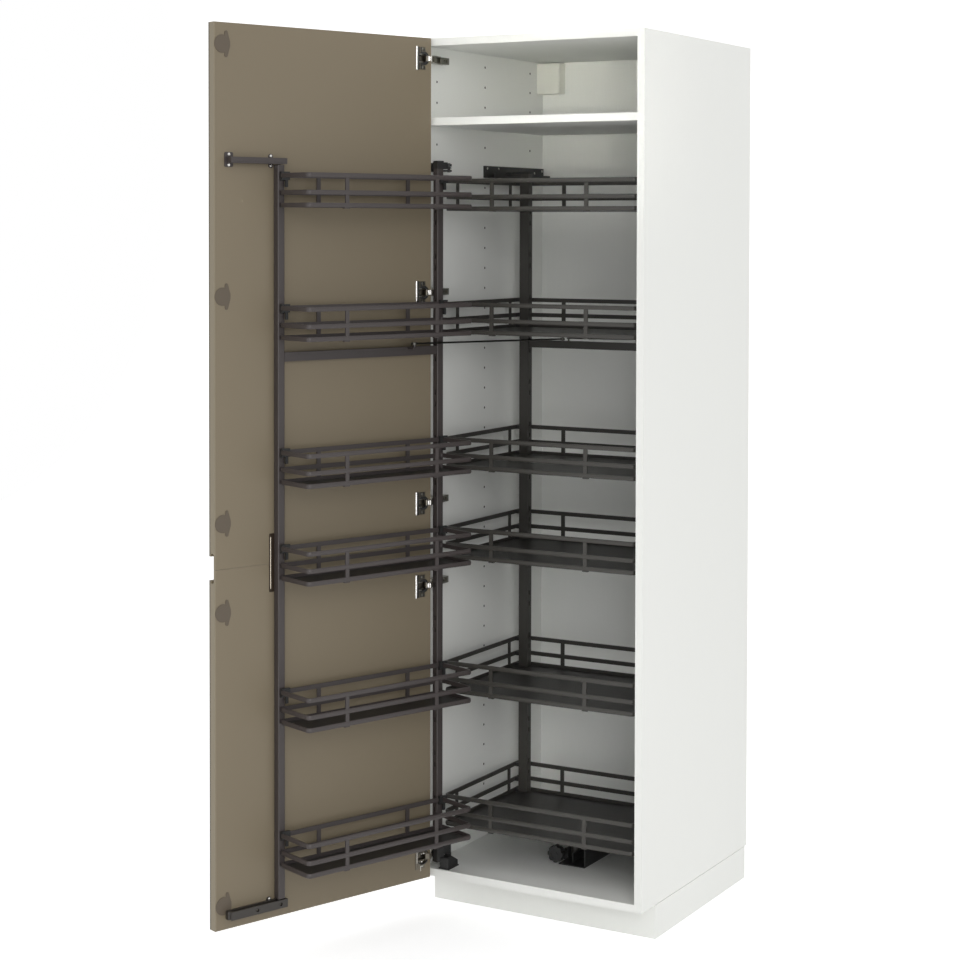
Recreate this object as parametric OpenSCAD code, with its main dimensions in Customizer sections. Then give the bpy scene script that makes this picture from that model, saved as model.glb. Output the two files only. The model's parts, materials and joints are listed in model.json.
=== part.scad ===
// Tall kitchen cabinet with a swing-out front frame and a sliding rear rack of wire baskets.
// Millimetres. X runs across the cabinet, Y runs into it, Z is up from the floor.
// The rest pose is the open door. Measured Y positions count from the carcass front edge.

/* [Carcass] */
// Outside width of the cabinet carcass
carcass_w = 600; // [598:1:602]
// Depth of the side panels
carcass_d = 600; // [598:1:602]
// Thickness of sides, top, floor and shelf
panel_t = 18; // [18:0.5:18]
// Height of the carcass underside above the floor
plinth_h = 80; // [80:1:80]
// Height of the carcass top above the floor
carcass_top = 2080; // [2078:1:2082]
// Height of the top compartment, from the shelf to the carcass top
shelf_room = 188.3; // [180:0.1:200]
// Thickness of the back panel
back_t = 5; // [3:0.5:8]
// Setback of the back panel behind the side panels
back_set = 11; // [8:1:14]
// Setback of the plinth board behind the carcass front
plinth_set = 75; // [60:1:90]
// Radius of the shelf-pin holes
pin_r = 2.5; // [2.5:0.1:2.5]
// Depth of the shelf-pin holes
pin_depth = 11; // [8:1:13]

/* [Door] */
// Angle of the open door from its closed line
door_open = 110.22; // [109:0.1:111]
// Thickness of the door leaves
door_t = 22; // [19:0.5:22]
// Setback of the door edges from the carcass edges
door_gap = 1.5; // [1:0.5:2]
// Height of the seam between the two leaves
seam_z = 880; // [878:1:882]
// Gap at the seam
seam_gap = 0.6; // [0.4:0.1:1]
// Depth of the grip recesses behind the inner lip
grip_depth = 11.5; // [10:0.5:12]
// Radius of the hinge cup
cup_r = 17.4; // [17:0.1:17.4]

/* [Baskets] */
// Height of a wire basket
basket_h = 76; // [70:1:80]
// Height of one flat rail
rail_h = 10; // [8:1:12]
// Thickness of one flat rail
rail_t = 3.5; // [3:0.5:4]
// Outside corner radius of the rails
corner_r = 9; // [6:0.5:10]
// Thickness of a basket tray
tray_t = 1.5; // [1:0.5:2]

/* [Frames] */
// Width of the front frame posts
post_w = 18; // [18:1:18]
// Wall of the slotted posts
post_wall = 1.6; // [1.2:0.2:2]
// Pitch of the pairs of slots in the posts
slot_pitch = 107.6; // [100:0.2:112]
// Distance between the two slots of a pair
slot_pair = 28; // [24:1:32]
// Running clearance round a pin
fit = 0.06; // [0.03:0.01:0.1]

/* [Hidden] */
$fn = 48;
// Distance of the part origin behind the carcass front edge
y_datum = plinth_set + 8;
// Inner faces of the side panels
in_x = carcass_w / 2 - panel_t;
floor_z = plinth_h + panel_t;
back_y = carcass_d - back_set - back_t;
shelf_top = carcass_top - shelf_room;
door_w = carcass_w - 2 * door_gap;
door_bottom = plinth_h + door_gap;
door_top = carcass_top - door_gap;
// Hinge edge of the open door
hinge_x = 27.5 - in_x;
hinge_y = -13;
// Fixed and moving pins of the door hinges
arm_pin = [21.5 - in_x, 7.7];
cup_pin_s = 10.6;
cup_pin_n = -2.26;
cup_s = 22.5;
hinge_z = [carcass_top - 50, 1478, 979, 782, plinth_h + 53];
// Pivot of the front frame
piv_x = 46 - in_x;
piv_y = 38;
// Upper end of the free post and the lower door channel
head_z = shelf_top - panel_t - 103.7;
foot_z = door_bottom + 23.5;
basket_top = [head_z - 22, 1453.5, 1130, 914, 589, floor_z + 168];
// The front baskets hang a little higher, each on its own slots
front_top = [head_z - 18.3, 1457, 1135, 920.4, 597.5, floor_z + 177];
// Front frame: posts along it and the rear face of the channel
post_s = 31;
frame_s = 2 * in_x - 66;
post_m = [3, 19.5];
rail_s = door_w - 26;
// Front frame basket: ends along the frame, rear and front rail
fb = [post_s + 3.5, frame_s - 3.5, 20, 134];
fb_mid = (fb[0] + fb[1]) / 2;
// Rear rack basket: left, right, front, rear
rb = [28.5 - in_x, in_x - 28.5, 51, back_y - 169];
rack_post = [rb[0] + 14.5, rb[0] + 39.5, rb[3] - 28, rb[3] - 8];
// Slats stand at a quarter of the rack width from its middle
slat_x = rb[1] - 127.5;
// Floor channel and the pin of the rack runner in it
guide_x = 6;
runner_pin_y = 236;
// Ends of the link rod on the rack and on the front frame
rod_rear = [-120, rack_post[2] + 10, 1352.5];
rod_s = 128;
rod_m = 33;
rod_front = [piv_x + rod_s * cos(door_open) + rod_m * sin(door_open),
  piv_y - rod_s * sin(door_open) + rod_m * cos(door_open), 1360.7];
// Underside and top of the front crossbar
bar_z = [rod_front[2] - 28.7, rod_front[2] - 8.4];

white = [0.9, 0.9, 0.89];
beige = [0.5, 0.46, 0.38];
dark_beige = [0.42, 0.38, 0.31];
graphite = [0.24, 0.23, 0.22];
tray_grey = [0.16, 0.16, 0.15];
black = [0.06, 0.06, 0.06];
steel = [0.75, 0.75, 0.74];

// Shift from measured positions to the part origin
module place() {
  translate([0, -y_datum, 0]) children();
}

// Door coordinates: x along the leaf from its hinge edge, y out of its inner face
module on_door() {
  place() translate([hinge_x, hinge_y, 0]) rotate([0, 0, -door_open]) children();
}

// Front frame coordinates: x along the frame from its pivot, y into the cabinet
module on_frame() {
  place() translate([piv_x, piv_y, 0]) rotate([0, 0, -door_open]) children();
}

// Box from two corners
module box(a, b) {
  translate(a) cube([b[0] - a[0], b[1] - a[1], b[2] - a[2]]);
}

// Rectangle with round corners made of squares and circles
module round_rect(x0, x1, y0, y1, r) {
  translate([x0 + r, y0]) square([x1 - x0 - 2 * r, y1 - y0]);
  translate([x0, y0 + r]) square([x1 - x0, y1 - y0 - 2 * r]);
  for (x = [x0 + r, x1 - r], y = [y0 + r, y1 - r])
    translate([x, y]) circle(r = r);
}

// Flat rail bent into a closed ring
module ring(q, z0, h) {
  translate([0, 0, z0]) linear_extrude(height = h) difference() {
    round_rect(q[0], q[1], q[2], q[3], corner_r);
    round_rect(q[0] + rail_t, q[1] - rail_t, q[2] + rail_t, q[3] - rail_t,
      corner_r - rail_t);
  }
}

// Wire basket: bottom band, two rails and upright slats
module basket(q, top, front_slats, rear_slats, side_slats, foot) {
  z0 = top - basket_h;
  ring(q, z0, rail_h);
  ring(q, top - 48, rail_h);
  ring(q, top - rail_h, rail_h);
  for (x = front_slats) {
    box([x - 5, q[2] + 0.2, z0 + 5], [x + 5, q[2] + rail_t - 0.2, top - 5]);
    box([x - 7, foot + 0.6, z0 - 2.5], [x + 7, foot + 9, z0 + 0.5]);
  }
  for (x = rear_slats)
    box([x - 5, q[3] - rail_t + 0.2, z0 + 5], [x + 5, q[3] - 0.2, top - 5]);
  for (y = side_slats) {
    box([q[0] + 0.2, y - 5, z0 + 5], [q[0] + rail_t - 0.2, y + 5, top - 5]);
    box([q[1] - rail_t + 0.2, y - 5, z0 + 5], [q[1] - 0.2, y + 5, top - 5]);
  }
}

// Sheet tray inside the bottom band of a basket
module tray(q, top) {
  translate([0, 0, top - basket_h + 1]) linear_extrude(height = tray_t)
    round_rect(q[0] + rail_t, q[1] - rail_t, q[2] + rail_t, q[3] - rail_t,
      corner_r - rail_t + 1.5);
}

module side_panel(side) {
  x0 = side < 0 ? -carcass_w / 2 : in_x;
  difference() {
    box([x0, 0, plinth_h], [x0 + panel_t, carcass_d, carcass_top]);
    for (y = [58, 285.5, 515.5], k = [0 : 37]) {
      z = 181 + 50 * k;
      if (abs(z - shelf_top + 9) > 12 && !(y < 100 && min([for (h = hinge_z) abs(z - h)]) < 30))
        translate([side * (in_x + pin_depth / 2 - 0.01), y, z]) rotate([0, 90, 0])
          cylinder(r = pin_r, h = pin_depth + 0.02, center = true);
    }
  }
}

module side_panel_left() {
  color(white) place() side_panel(-1);
}

module side_panel_right() {
  color(white) place() side_panel(1);
}

module top_panel() {
  color(white) place() box([-in_x, 0, carcass_top - panel_t], [in_x, carcass_d, carcass_top]);
}

module floor_panel() {
  color(white) place() box([-in_x, 0, plinth_h], [in_x, carcass_d, floor_z]);
}

module fixed_shelf() {
  color(white) place() box([-in_x, 0, shelf_top - panel_t], [in_x, back_y, shelf_top]);
}

module back_panel() {
  color(white) place() box([-in_x, back_y, floor_z],
    [in_x, back_y + back_t, carcass_top - panel_t]);
}

// Front board and two returns under the carcass
module plinth() {
  color(white) place() {
    for (lip = [0, 2]) {
      z = [lip == 0 ? 0 : plinth_h - 2, lip == 0 ? plinth_h - 1.5 : plinth_h];
      l = 4 + lip - carcass_w / 2;
      r = carcass_w / 2 - lip;
      y = plinth_set + 16;
      box([l, plinth_set + lip, z[0]], [r, y, z[1]]);
      box([carcass_w / 2 - 16, y, z[0]], [r, carcass_d - 10, z[1]]);
      box([l, y, z[0]], [20 - carcass_w / 2, carcass_d - 10, z[1]]);
    }
  }
}

module levelling_legs() {
  leg_x = carcass_w / 2 - 70;
  color(black) place() for (x = [-leg_x, leg_x], y = [plinth_set + 50, carcass_d - 65])
    translate([x, y, 0]) {
      cylinder(r = 27, h = 9);
      translate([0, 0, 8]) cylinder(r = 11, h = plinth_h - 54);
      translate([0, 0, plinth_h - 47]) cylinder(r = 16, h = 41);
      translate([0, 0, plinth_h - 7]) cylinder(r = 29, h = 7);
    }
}

// White cover over the wall fixing, top left rear corner
module hanging_cover() {
  x = 67 - in_x;
  y = back_y - 32;
  z = carcass_top - panel_t - 3;
  color(white) place() difference() {
    box([-in_x, y, z - 79], [x, back_y, z]);
    translate([x, y, z - 40]) rotate([0, 0, 45]) cube([5, 5, 200], center = true);
    box([-in_x - 1, y + 4, z - 75], [x - 4, back_y + 1, z - 4]);
  }
}

// Hinge arms on their mounting plates, left panel
module hinge_arms() {
  x = -in_x;
  color(steel) place() for (z = hinge_z) translate([0, 0, z]) difference() {
    union() {
      box([x, 30, -7.6], [x + 3, 80, 7.6]);
      box([x + 3, 34, -6], [x + 8, 76, 6]);
      box([x + 8, 14, -9], [x + 22, 40, 9]);
      box([x + 8, 40, -7.8], [x + 22, 78, 7.8]);
      for (s = [-9, 6.9]) translate([0, 0, s]) {
        translate([arm_pin[0], arm_pin[1], 0]) cylinder(r = 4, h = 2.1);
        box([arm_pin[0] - 4, arm_pin[1], 0], [arm_pin[0] + 4, 20, 2.1]);
        box([x + 8, 14, 0], [arm_pin[0] + 4, 20, 2.1]);
      }
      translate([arm_pin[0], arm_pin[1], -9]) cylinder(r = 1.5, h = 18);
    }
    box([x + 10, 20, -6.5], [x + 23, 38, 6.5]);
    translate([x + 19, 56, 0]) rotate([0, 90, 0]) cylinder(r = 2.6, h = 4);
    translate([x + 20.8, 66, 0]) rotate([0, 90, 0]) cylinder(r = 4, h = 2);
  }
}

// Cranked hinge link between the arm pin and the cup pin
module hinge_links() {
  color(steel) place() for (z = hinge_z) translate([arm_pin[0], arm_pin[1], z - 6.5])
    linear_extrude(height = 13) difference() {
      union() {
        circle(r = 2.8);
        translate([0.2, -29.9]) circle(r = 2.8);
        polygon([[-0.6, -1.5], [2.2, -5.3], [2.7, -14.4], [7.2, -18.9], [9.9, -23.6],
          [8.3, -28.1], [2.6, -28.2], [2.0, -31.3], [9.3, -29.6], [11.7, -23.5],
          [8.9, -18.2], [4.5, -13.7], [4.1, -4.8], [2.2, -1.2]]);
      }
      circle(r = 1.5 + fit);
      translate([0.2, -29.9]) circle(r = 1.5 + fit);
    }
}

// Wedge on the floor panel with the stud for the lower pivot arm
module floor_pivot_block() {
  x = piv_x - 4;
  z = floor_z;
  color(black) place() {
    box([x - 2, 5, z], [x + 26, 53, z + 2.5]);
    translate([x, 0, 0]) rotate([90, 0, 90]) linear_extrude(height = 24)
      polygon([[7, z + 2], [7, z + 27], [9, z + 29], [25, z + 29], [51, z + 14], [51, z + 2]]);
    translate([piv_x, piv_y, z + 16]) cylinder(r = 8, h = 14.5);
    translate([piv_x, piv_y, z + 30]) cylinder(r = 5.5, h = 1.8);
    translate([piv_x, piv_y, z + 30]) cylinder(r = 4, h = 18);
  }
}

// Forked bracket that holds the tongue of the upper pivot arm
module top_pivot_bracket() {
  color(black) place() {
    box([-in_x, 20, head_z - 5.5], [-in_x + 3, 56, head_z + 16]);
    for (f = [[head_z - 5.5, 4.5], [head_z + 7, 6]]) translate([0, 0, f[0]]) difference() {
      union() {
        translate([piv_x, piv_y, 0]) cylinder(r = 7, h = f[1]);
        box([-in_x + 3, piv_y - 7, 0], [piv_x, piv_y + 7, f[1]]);
      }
      translate([piv_x, piv_y, -1]) cylinder(r = 3.5 + fit, h = 10);
    }
    translate([piv_x - 14, piv_y, head_z + 13]) cylinder(r = 3, h = 2);
  }
}

// Guide rail for the rear rack on the left panel
module rack_top_rail() {
  z = head_z - 14;
  y = back_y - 288;
  color(black) place() {
    difference() {
      box([-in_x, y - 18, z], [-in_x + 3, back_y, z + 30]);
      for (h = [[-3.5, 23.5], [52, 24], [238, 17], [278, 23.5]])
        translate([-in_x - 1, y + h[0], z + h[1]]) rotate([0, 90, 0]) cylinder(r = 2.4, h = 5);
    }
    box([-in_x + 3, y, z], [-in_x + 20, back_y, z + 2.5]);
    box([-in_x + 20, y, z], [-in_x + 22.5, back_y, z + 11]);
  }
}

// Base plate and channel for the rack runner, with the ear that holds the knob
module floor_guide() {
  z = floor_z + 2.5;
  y = back_y - 18;
  color(black) place() translate([guide_x, 0, 0]) {
    box([-15, 178, floor_z], [55, y, z]);
    box([-15, 222, z], [-12, y, floor_z + 30]);
    box([11, 200, z], [13.5, y, floor_z + 24]);
    difference() {
      box([51, 184, z], [54, y, floor_z + 42]);
      translate([50, 172, floor_z + 30]) rotate([30, 0, 0]) cube([6, 14, 40]);
    }
    box([-22, 190, floor_z + 14], [-15, 230, floor_z + 26]);
    box([-22, 218, floor_z], [-15, 230, floor_z + 14]);
  }
}

// Star knob: a scalloped disc on a hub
module floor_guide_knob() {
  color(black) place() translate([guide_x - 21, 190, floor_z + 25]) rotate([90, 0, 0]) {
    cylinder(r = 9, h = 5);
    translate([0, 0, 4]) difference() {
      cylinder(r = 20.5, h = 15);
      for (a = [22.5 : 45 : 337.5]) rotate([0, 0, a]) translate([23, 0, -1]) cylinder(r = 5, h = 17);
      translate([0, 0, 13]) cylinder(r = 12, h = 3);
    }
    translate([0, 0, 16]) cylinder(r = 5, h = 2.5);
  }
}

// Grip recess and hinge cup pockets are cut from a plain board
module leaf(z0, z1, grip) {
  difference() {
    box([0, -door_t, z0], [door_w, 0, z1]);
    for (z = hinge_z) if (z > z0 && z < z1) translate([cup_s, 0, z]) rotate([90, 0, 0])
      translate([0, 0, -0.01]) cylinder(r = cup_r + 0.1, h = 13.61);
    translate([-1, 0, 0]) rotate([90, 0, 90]) linear_extrude(height = door_w + 2)
      polygon(grip);
  }
}

module door_upper() {
  s = seam_z + seam_gap / 2;
  d = -4 - grip_depth;
  color(beige) on_door() leaf(s, door_top,
    [[-4, s - 1], [-4, s + 32], [-6, s + 35], [d + 1.5, s + 35], [d, s + 33],
     [d, s + 28.5], [-door_t - 1, s + 28.5], [-door_t - 1, s - 1]]);
}

module door_lower() {
  s = seam_z - seam_gap / 2;
  d = -4 - grip_depth;
  color(beige) on_door() leaf(door_bottom, s,
    [[-4, s + 1], [-4, s - 27], [-6, s - 30], [d + 1.5, s - 30], [d, s - 28],
     [d, s - 23.5], [-door_t - 1, s - 23.5], [-door_t - 1, s + 1]]);
}

// Hinge cups pressed into the door, with their ribbed flange plates and link pins
module hinge_cups() {
  color(steel) on_door() for (z = hinge_z) translate([0, 0, z]) {
    difference() {
      union() {
        translate([cup_s, 0, 0]) rotate([90, 0, 0]) cylinder(r = cup_r, h = 13.6);
        box([17, 0, -26.5], [45, 1.4, 26.5]);
      }
      translate([cup_s, 2, 0]) rotate([90, 0, 0]) cylinder(r = cup_r - 1.6, h = 6);
      box([7.2, -12, -7.2], [38, 3, 7.2]);
      for (s = [34.5, 38.5]) box([s, 0.7, -23], [s + 1.6, 2, 23]);
      for (h = [-21.5, 21.5]) translate([27, 2, h]) rotate([90, 0, 0]) cylinder(r = 3, h = 1.2);
    }
    translate([cup_pin_s, cup_pin_n, -11.5]) cylinder(r = 1.5, h = 23);
  }
}

// Covers over the spare hinge holes along the free edge: a disc with two tapering ears
module hinge_hole_caps() {
  color(dark_beige) on_door() for (z = hinge_z) translate([door_w - 21, 0, z + 1.5])
    rotate([90, 0, 0]) translate([0, 0, -1.2]) linear_extrude(height = 1.2) union() {
      circle(r = 20);
      polygon([[-6, 25], [-14, 25], [-20, 5], [-20, -5], [-14, -25], [-6, -25]]);
      for (h = [-25, 25]) translate([-10, h]) circle(r = 4);
    }
}

// Flat tie across the seam on the inner face
module door_joiner() {
  color([0.16, 0.11, 0.07]) on_door() translate([rail_s - 124, 0, seam_z + 2]) rotate([90, 0, 0])
    translate([0, 0, -2]) linear_extrude(height = 2) union() {
      translate([-6.5, -58.5]) square([13, 117]);
      for (h = [-58.5, 58.5]) translate([0, h]) circle(r = 6.5);
    }
}

// Flat plate on the inner face with round corners and a screw hole at each end
module rail_plate(x0, x1, z0, z1, r) {
  rotate([90, 0, 0]) translate([0, 0, -1.6]) linear_extrude(height = 1.6) difference() {
    round_rect(x0, x1, z0, z1, r);
    for (h = [z0 + 5, z1 - 5]) translate([(x0 + x1) / 2, h]) circle(r = 2.2);
  }
}

// Upper channel on the door for the roller of the front frame
module door_rail_upper(z0, z1) {
  difference() {
    union() {
      box([-151, 1.6, z0], [-5, 21, z1]);
      box([-151, 0, z0 + 1], [-22, 1.6, z1 - 1]);
      rail_plate(-22, 0, z0 - 9, z1 + 10.5, 4);
      rail_plate(-126, -114, z0 - 9, z1 + 9, 5.9);
    }
    box([-147, 6, z0 - 1], [-9, 17, z1 - 2.4]);
    box([-146, 20.4, z0 + 3], [-16, 22, z0 + 4]);
  }
}

// Lower channel, bridged over the hinge hole cover beside it
module door_rail_lower(z0, z1) {
  difference() {
    union() {
      box([-151, 0, z0], [-19, 21, z1]);
      box([-19, 1.6, z0], [0, 21, z1]);
      rail_plate(-118.5, -106.5, z1 - 14, z1 + 7.5, 5.9);
    }
    box([-147, 6, z0 + 3], [-9, 17, z1 + 1]);
    translate([-5, 14, z0 - 1]) rotate([0, 0, -25]) cube([20, 20, 40]);
    for (x = [-133, -71]) translate([x, 22, (z0 + z1) / 2]) rotate([90, 0, 0])
      cylinder(r = 4, h = 4.4);
  }
}

module door_rail_top() {
  color(graphite) on_door() translate([rail_s, 0, 0]) door_rail_upper(head_z + 2, head_z + 15.4);
}

module door_rail_bottom() {
  color(graphite) on_door() translate([rail_s, 0, 0]) door_rail_lower(foot_z, foot_z + 18.5);
}

// Two sliding shoes, one in each door channel
module rail_shoes() {
  color(black) on_door() translate([rail_s - 136, 0, 0]) {
    box([-8, 6.4, head_z + 3.5], [8, 16.6, head_z + 12.4]);
    translate([0, 11.5, head_z + 2.2]) cylinder(r = 4, h = 2);
    box([-8, 6.4, foot_z + 3.6], [8, 16.6, foot_z + 17]);
    translate([0, 11.5, foot_z + 16.5]) cylinder(r = 4, h = 1.8);
  }
}

// Channel post, open towards the door, with a column of slots in one flank
module slotted_post(s0, z0, z1, flank) {
  w = post_wall;
  s1 = s0 + post_w;
  difference() {
    union() {
      box([s0, post_m[0], z0], [s1, post_m[1] - 2.5, z1]);
      box([s0 + 2.5, post_m[0], z0], [s1 - 2.5, post_m[1], z1]);
      for (x = [s0 + 2.5, s1 - 2.5]) translate([x, post_m[1] - 2.5, z0])
        cylinder(r = 2.5, h = z1 - z0);
    }
    box([s0 + w, post_m[0] - 1, z0 - 1], [s1 - w, post_m[1] - w - 1, z1 + 1]);
    for (c = [head_z - 112.5 : -slot_pitch : z0 + 40], z = [c - slot_pair / 2, c + slot_pair / 2])
      box([(flank < 0 ? s0 : s1 - w) - 1, post_m[0] + 6, z - 6],
        [(flank < 0 ? s0 : s1 - w) + w + 1, post_m[0] + 10, z + 6]);
  }
}

module front_post_free() {
  s = frame_s - post_w;
  z0 = foot_z + 20.6;
  color(graphite) on_frame() {
    slotted_post(s, z0, head_z, -1);
    for (z = [z0, head_z - 4])
      box([s + 1, post_m[0] + 0.5, z], [frame_s - 1, post_m[1] - 1, z + 4]);
  }
}

module front_post_pivot() {
  color(graphite) on_frame() slotted_post(post_s, floor_z + 54, head_z, 1);
}

module front_crossbar() {
  color(graphite) on_frame() {
    box([post_s + post_w, 6, bar_z[0]], [frame_s - post_w, 18, bar_z[1]]);
    box([rod_s - 8, 18, bar_z[1] - 4.5], [rod_s + 8, rod_m + 7, bar_z[1]]);
    translate([rod_s, rod_m, bar_z[1] - 0.5]) cylinder(r = 4, h = rod_front[2] - bar_z[1] - 2.6);
  }
}

// Holder on the post with a tongue to the upper pivot pin
module front_top_arm() {
  z = head_z;
  color(black) on_frame() {
    box([20, 2, z], [post_s + post_w + 1.5, 21, z + 16]);
    box([post_s, post_m[0], z + 16], [post_s + post_w, 20, z + 19.5]);
    box([0, -6, z + 2.2], [24, 6, z + 5.2]);
    translate([0, 0, z + 2.2]) cylinder(r = 6, h = 3);
    translate([0, 0, z - 7]) cylinder(r = 3.5, h = 22);
  }
}

// Holder under the post with a foot and an arm to the lower pivot stud
module front_bottom_arm() {
  z = floor_z + 32;
  color(black) on_frame() difference() {
    union() {
      translate([0, 0, z]) cylinder(r = 7.5, h = 22);
      box([0, -7.5, z], [post_s, 7.5, z + 22]);
      box([post_s - 2, post_m[0], z], [post_s + post_w, 21.5, z + 22]);
      box([post_s + 9.5, post_m[0], z - 11], [post_s + post_w, 21, z + 1]);
    }
    translate([0, 0, z - 1]) cylinder(r = 4 + fit, h = 18);
  }
}

// Clips between the front frame posts and the baskets
module front_clips() {
  color(black) on_frame() for (t = front_top) difference() {
    for (s = [post_s - 6, frame_s - 26]) {
      box([s + 1, post_m[1], t - 17], [s + 21, 22, t + 2]);
      box([s, 22, t - 15], [s + 22, 28.5, t + 3.5]);
      box([s + 4, 23.7, t - 31], [s + 11, 27, t - 15]);
    }
    ring(fb, t - rail_h, rail_h);
  }
}

// Six wire baskets of the front frame, from the top down
module front_wire(i) {
  slats = [fb_mid - 126, fb_mid + 126];
  basket(fb, front_top[i], slats, slats, [], fb[3] - 9.6);
}

module front_basket_1() {
  color(graphite) on_frame() front_wire(0);
}

module front_basket_2() {
  color(graphite) on_frame() front_wire(1);
}

module front_basket_3() {
  color(graphite) on_frame() front_wire(2);
}

module front_basket_4() {
  color(graphite) on_frame() front_wire(3);
}

module front_basket_5() {
  color(graphite) on_frame() front_wire(4);
}

module front_basket_6() {
  color(graphite) on_frame() front_wire(5);
}

module front_tray_1() {
  color(tray_grey) on_frame() tray(fb, front_top[0]);
}

module front_tray_2() {
  color(tray_grey) on_frame() tray(fb, front_top[1]);
}

module front_tray_3() {
  color(tray_grey) on_frame() tray(fb, front_top[2]);
}

module front_tray_4() {
  color(tray_grey) on_frame() tray(fb, front_top[3]);
}

module front_tray_5() {
  color(tray_grey) on_frame() tray(fb, front_top[4]);
}

module front_tray_6() {
  color(tray_grey) on_frame() tray(fb, front_top[5]);
}

// Rear rack uprights
module rack_posts() {
  color(graphite) place() for (side = [0, 1]) mirror([side, 0, 0]) {
    q = rack_post;
    w = post_wall;
    z0 = floor_z + 78;
    z1 = head_z - (side == 0 ? 2 : 24);
    difference() {
      box([q[0], q[2], z0], [q[1], q[3], z1]);
      box([q[0] - 1, q[2] + w, z0 - 1], [q[1] - w, q[3] - w, z1 + 1]);
      for (c = [head_z - 112.5 : -slot_pitch : z0 + 40], z = [c - slot_pair / 2, c + slot_pair / 2])
        box([q[1] - w - 1, q[2] + 7, z - 6], [q[1] + 1, q[2] + 12, z + 6]);
    }
  }
}

module rack_crossbar() {
  color(graphite) place() {
    box([rack_post[1], rod_rear[1] - 5, rod_rear[2] - 23.5],
      [-rack_post[1], rod_rear[1] + 5, rod_rear[2] - 4.5]);
    translate([rod_rear[0], rod_rear[1], rod_rear[2] - 4.5]) cylinder(r = 3, h = 9);
  }
}

// Carriage that hangs in the guide rail of the left panel
module rack_top_carriage() {
  color(black) place() {
    box([3.4 - in_x, rack_post[2] - 2, head_z - 11.1],
      [19.6 - in_x, rack_post[3] + 4, head_z + 1.5]);
    box([6 - in_x, rack_post[2], head_z - 2], [rack_post[1], rack_post[3], head_z + 3]);
  }
}

// Lower tie of the rack with an arm and a pin into the floor channel
module rack_floor_runner() {
  color(graphite) place() {
    z = floor_z + 66;
    box([rack_post[0], rack_post[2], z], [-rack_post[0], rack_post[3], z + 12]);
    box([guide_x - 8, runner_pin_y - 12, z], [guide_x + 8, rack_post[2], z + 12]);
    translate([guide_x, runner_pin_y, floor_z + 32]) cylinder(r = 4, h = 35);
    translate([guide_x, runner_pin_y, floor_z + 8]) cylinder(r = 10, h = 25);
  }
}

module rack_clips() {
  color(black) place() for (side = [0, 1], t = basket_top) mirror([side, 0, 0]) {
    for (z = [t - basket_h, t - 48, t - rail_h])
      box([rb[0] + rail_t, rack_post[2], z + 0.5],
        [rack_post[0], rack_post[2] + 11, z + rail_h - 0.5]);
  }
}

// Six wire baskets of the rear rack, from the top down
module rack_wire(i) {
  basket(rb, basket_top[i], [-slat_x, slat_x], [-slat_x, slat_x], [rb[2] + 54, rb[3] - 54], rb[2]);
}

// Tray with both rear corners cut out round the posts
module rack_sheet(i) {
  difference() {
    tray(rb, basket_top[i]);
    for (side = [0, 1]) mirror([side, 0, 0])
      box([rb[0] + 2.5, rack_post[2] - 1, basket_top[i] - 80],
        [rack_post[1] + 1, rb[3] + 1, basket_top[i]]);
  }
}

module rack_basket_1() {
  color(graphite) place() rack_wire(0);
}

module rack_basket_2() {
  color(graphite) place() rack_wire(1);
}

module rack_basket_3() {
  color(graphite) place() rack_wire(2);
}

module rack_basket_4() {
  color(graphite) place() rack_wire(3);
}

module rack_basket_5() {
  color(graphite) place() rack_wire(4);
}

module rack_basket_6() {
  color(graphite) place() rack_wire(5);
}

module rack_tray_1() {
  color(tray_grey) place() rack_sheet(0);
}

module rack_tray_2() {
  color(tray_grey) place() rack_sheet(1);
}

module rack_tray_3() {
  color(tray_grey) place() rack_sheet(2);
}

module rack_tray_4() {
  color(tray_grey) place() rack_sheet(3);
}

module rack_tray_5() {
  color(tray_grey) place() rack_sheet(4);
}

module rack_tray_6() {
  color(tray_grey) place() rack_sheet(5);
}

// Rod between the front frame crossbar and the rack crossbar
module link_rod() {
  a = rod_rear;
  b = rod_front;
  d = b - a;
  l = norm([d[0], d[1]]);
  color(steel) place() difference() {
    union() {
      translate([a[0], a[1], a[2] - 3]) cylinder(r = 6, h = 6);
      translate([b[0], b[1], b[2] - 2.5]) cylinder(r = 7, h = 5);
      translate(a) rotate([0, 0, atan2(d[1], d[0])]) rotate([0, -atan2(d[2], l), 0])
        translate([4, 0, 0]) rotate([0, 90, 0]) cylinder(r = 2.2, h = l - 8);
    }
    translate([a[0], a[1], a[2] - 10]) cylinder(r = 3 + fit, h = 30);
    translate([b[0], b[1], b[2] - 12.5]) cylinder(r = 4.2, h = 11.5);
  }
}

side_panel_left();
side_panel_right();
top_panel();
floor_panel();
fixed_shelf();
back_panel();
plinth();
levelling_legs();
hanging_cover();
hinge_arms();
floor_pivot_block();
top_pivot_bracket();
rack_top_rail();
floor_guide();
floor_guide_knob();
hinge_links();
door_upper();
door_lower();
hinge_cups();
hinge_hole_caps();
door_joiner();
door_rail_top();
door_rail_bottom();
rail_shoes();
front_post_free();
front_post_pivot();
front_crossbar();
front_top_arm();
front_bottom_arm();
front_clips();
front_basket_1();
front_basket_2();
front_basket_3();
front_basket_4();
front_basket_5();
front_basket_6();
front_tray_1();
front_tray_2();
front_tray_3();
front_tray_4();
front_tray_5();
front_tray_6();
rack_posts();
rack_crossbar();
rack_top_carriage();
rack_floor_runner();
rack_clips();
rack_basket_1();
rack_basket_2();
rack_basket_3();
rack_basket_4();
rack_basket_5();
rack_basket_6();
rack_tray_1();
rack_tray_2();
rack_tray_3();
rack_tray_4();
rack_tray_5();
rack_tray_6();
link_rod();
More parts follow.
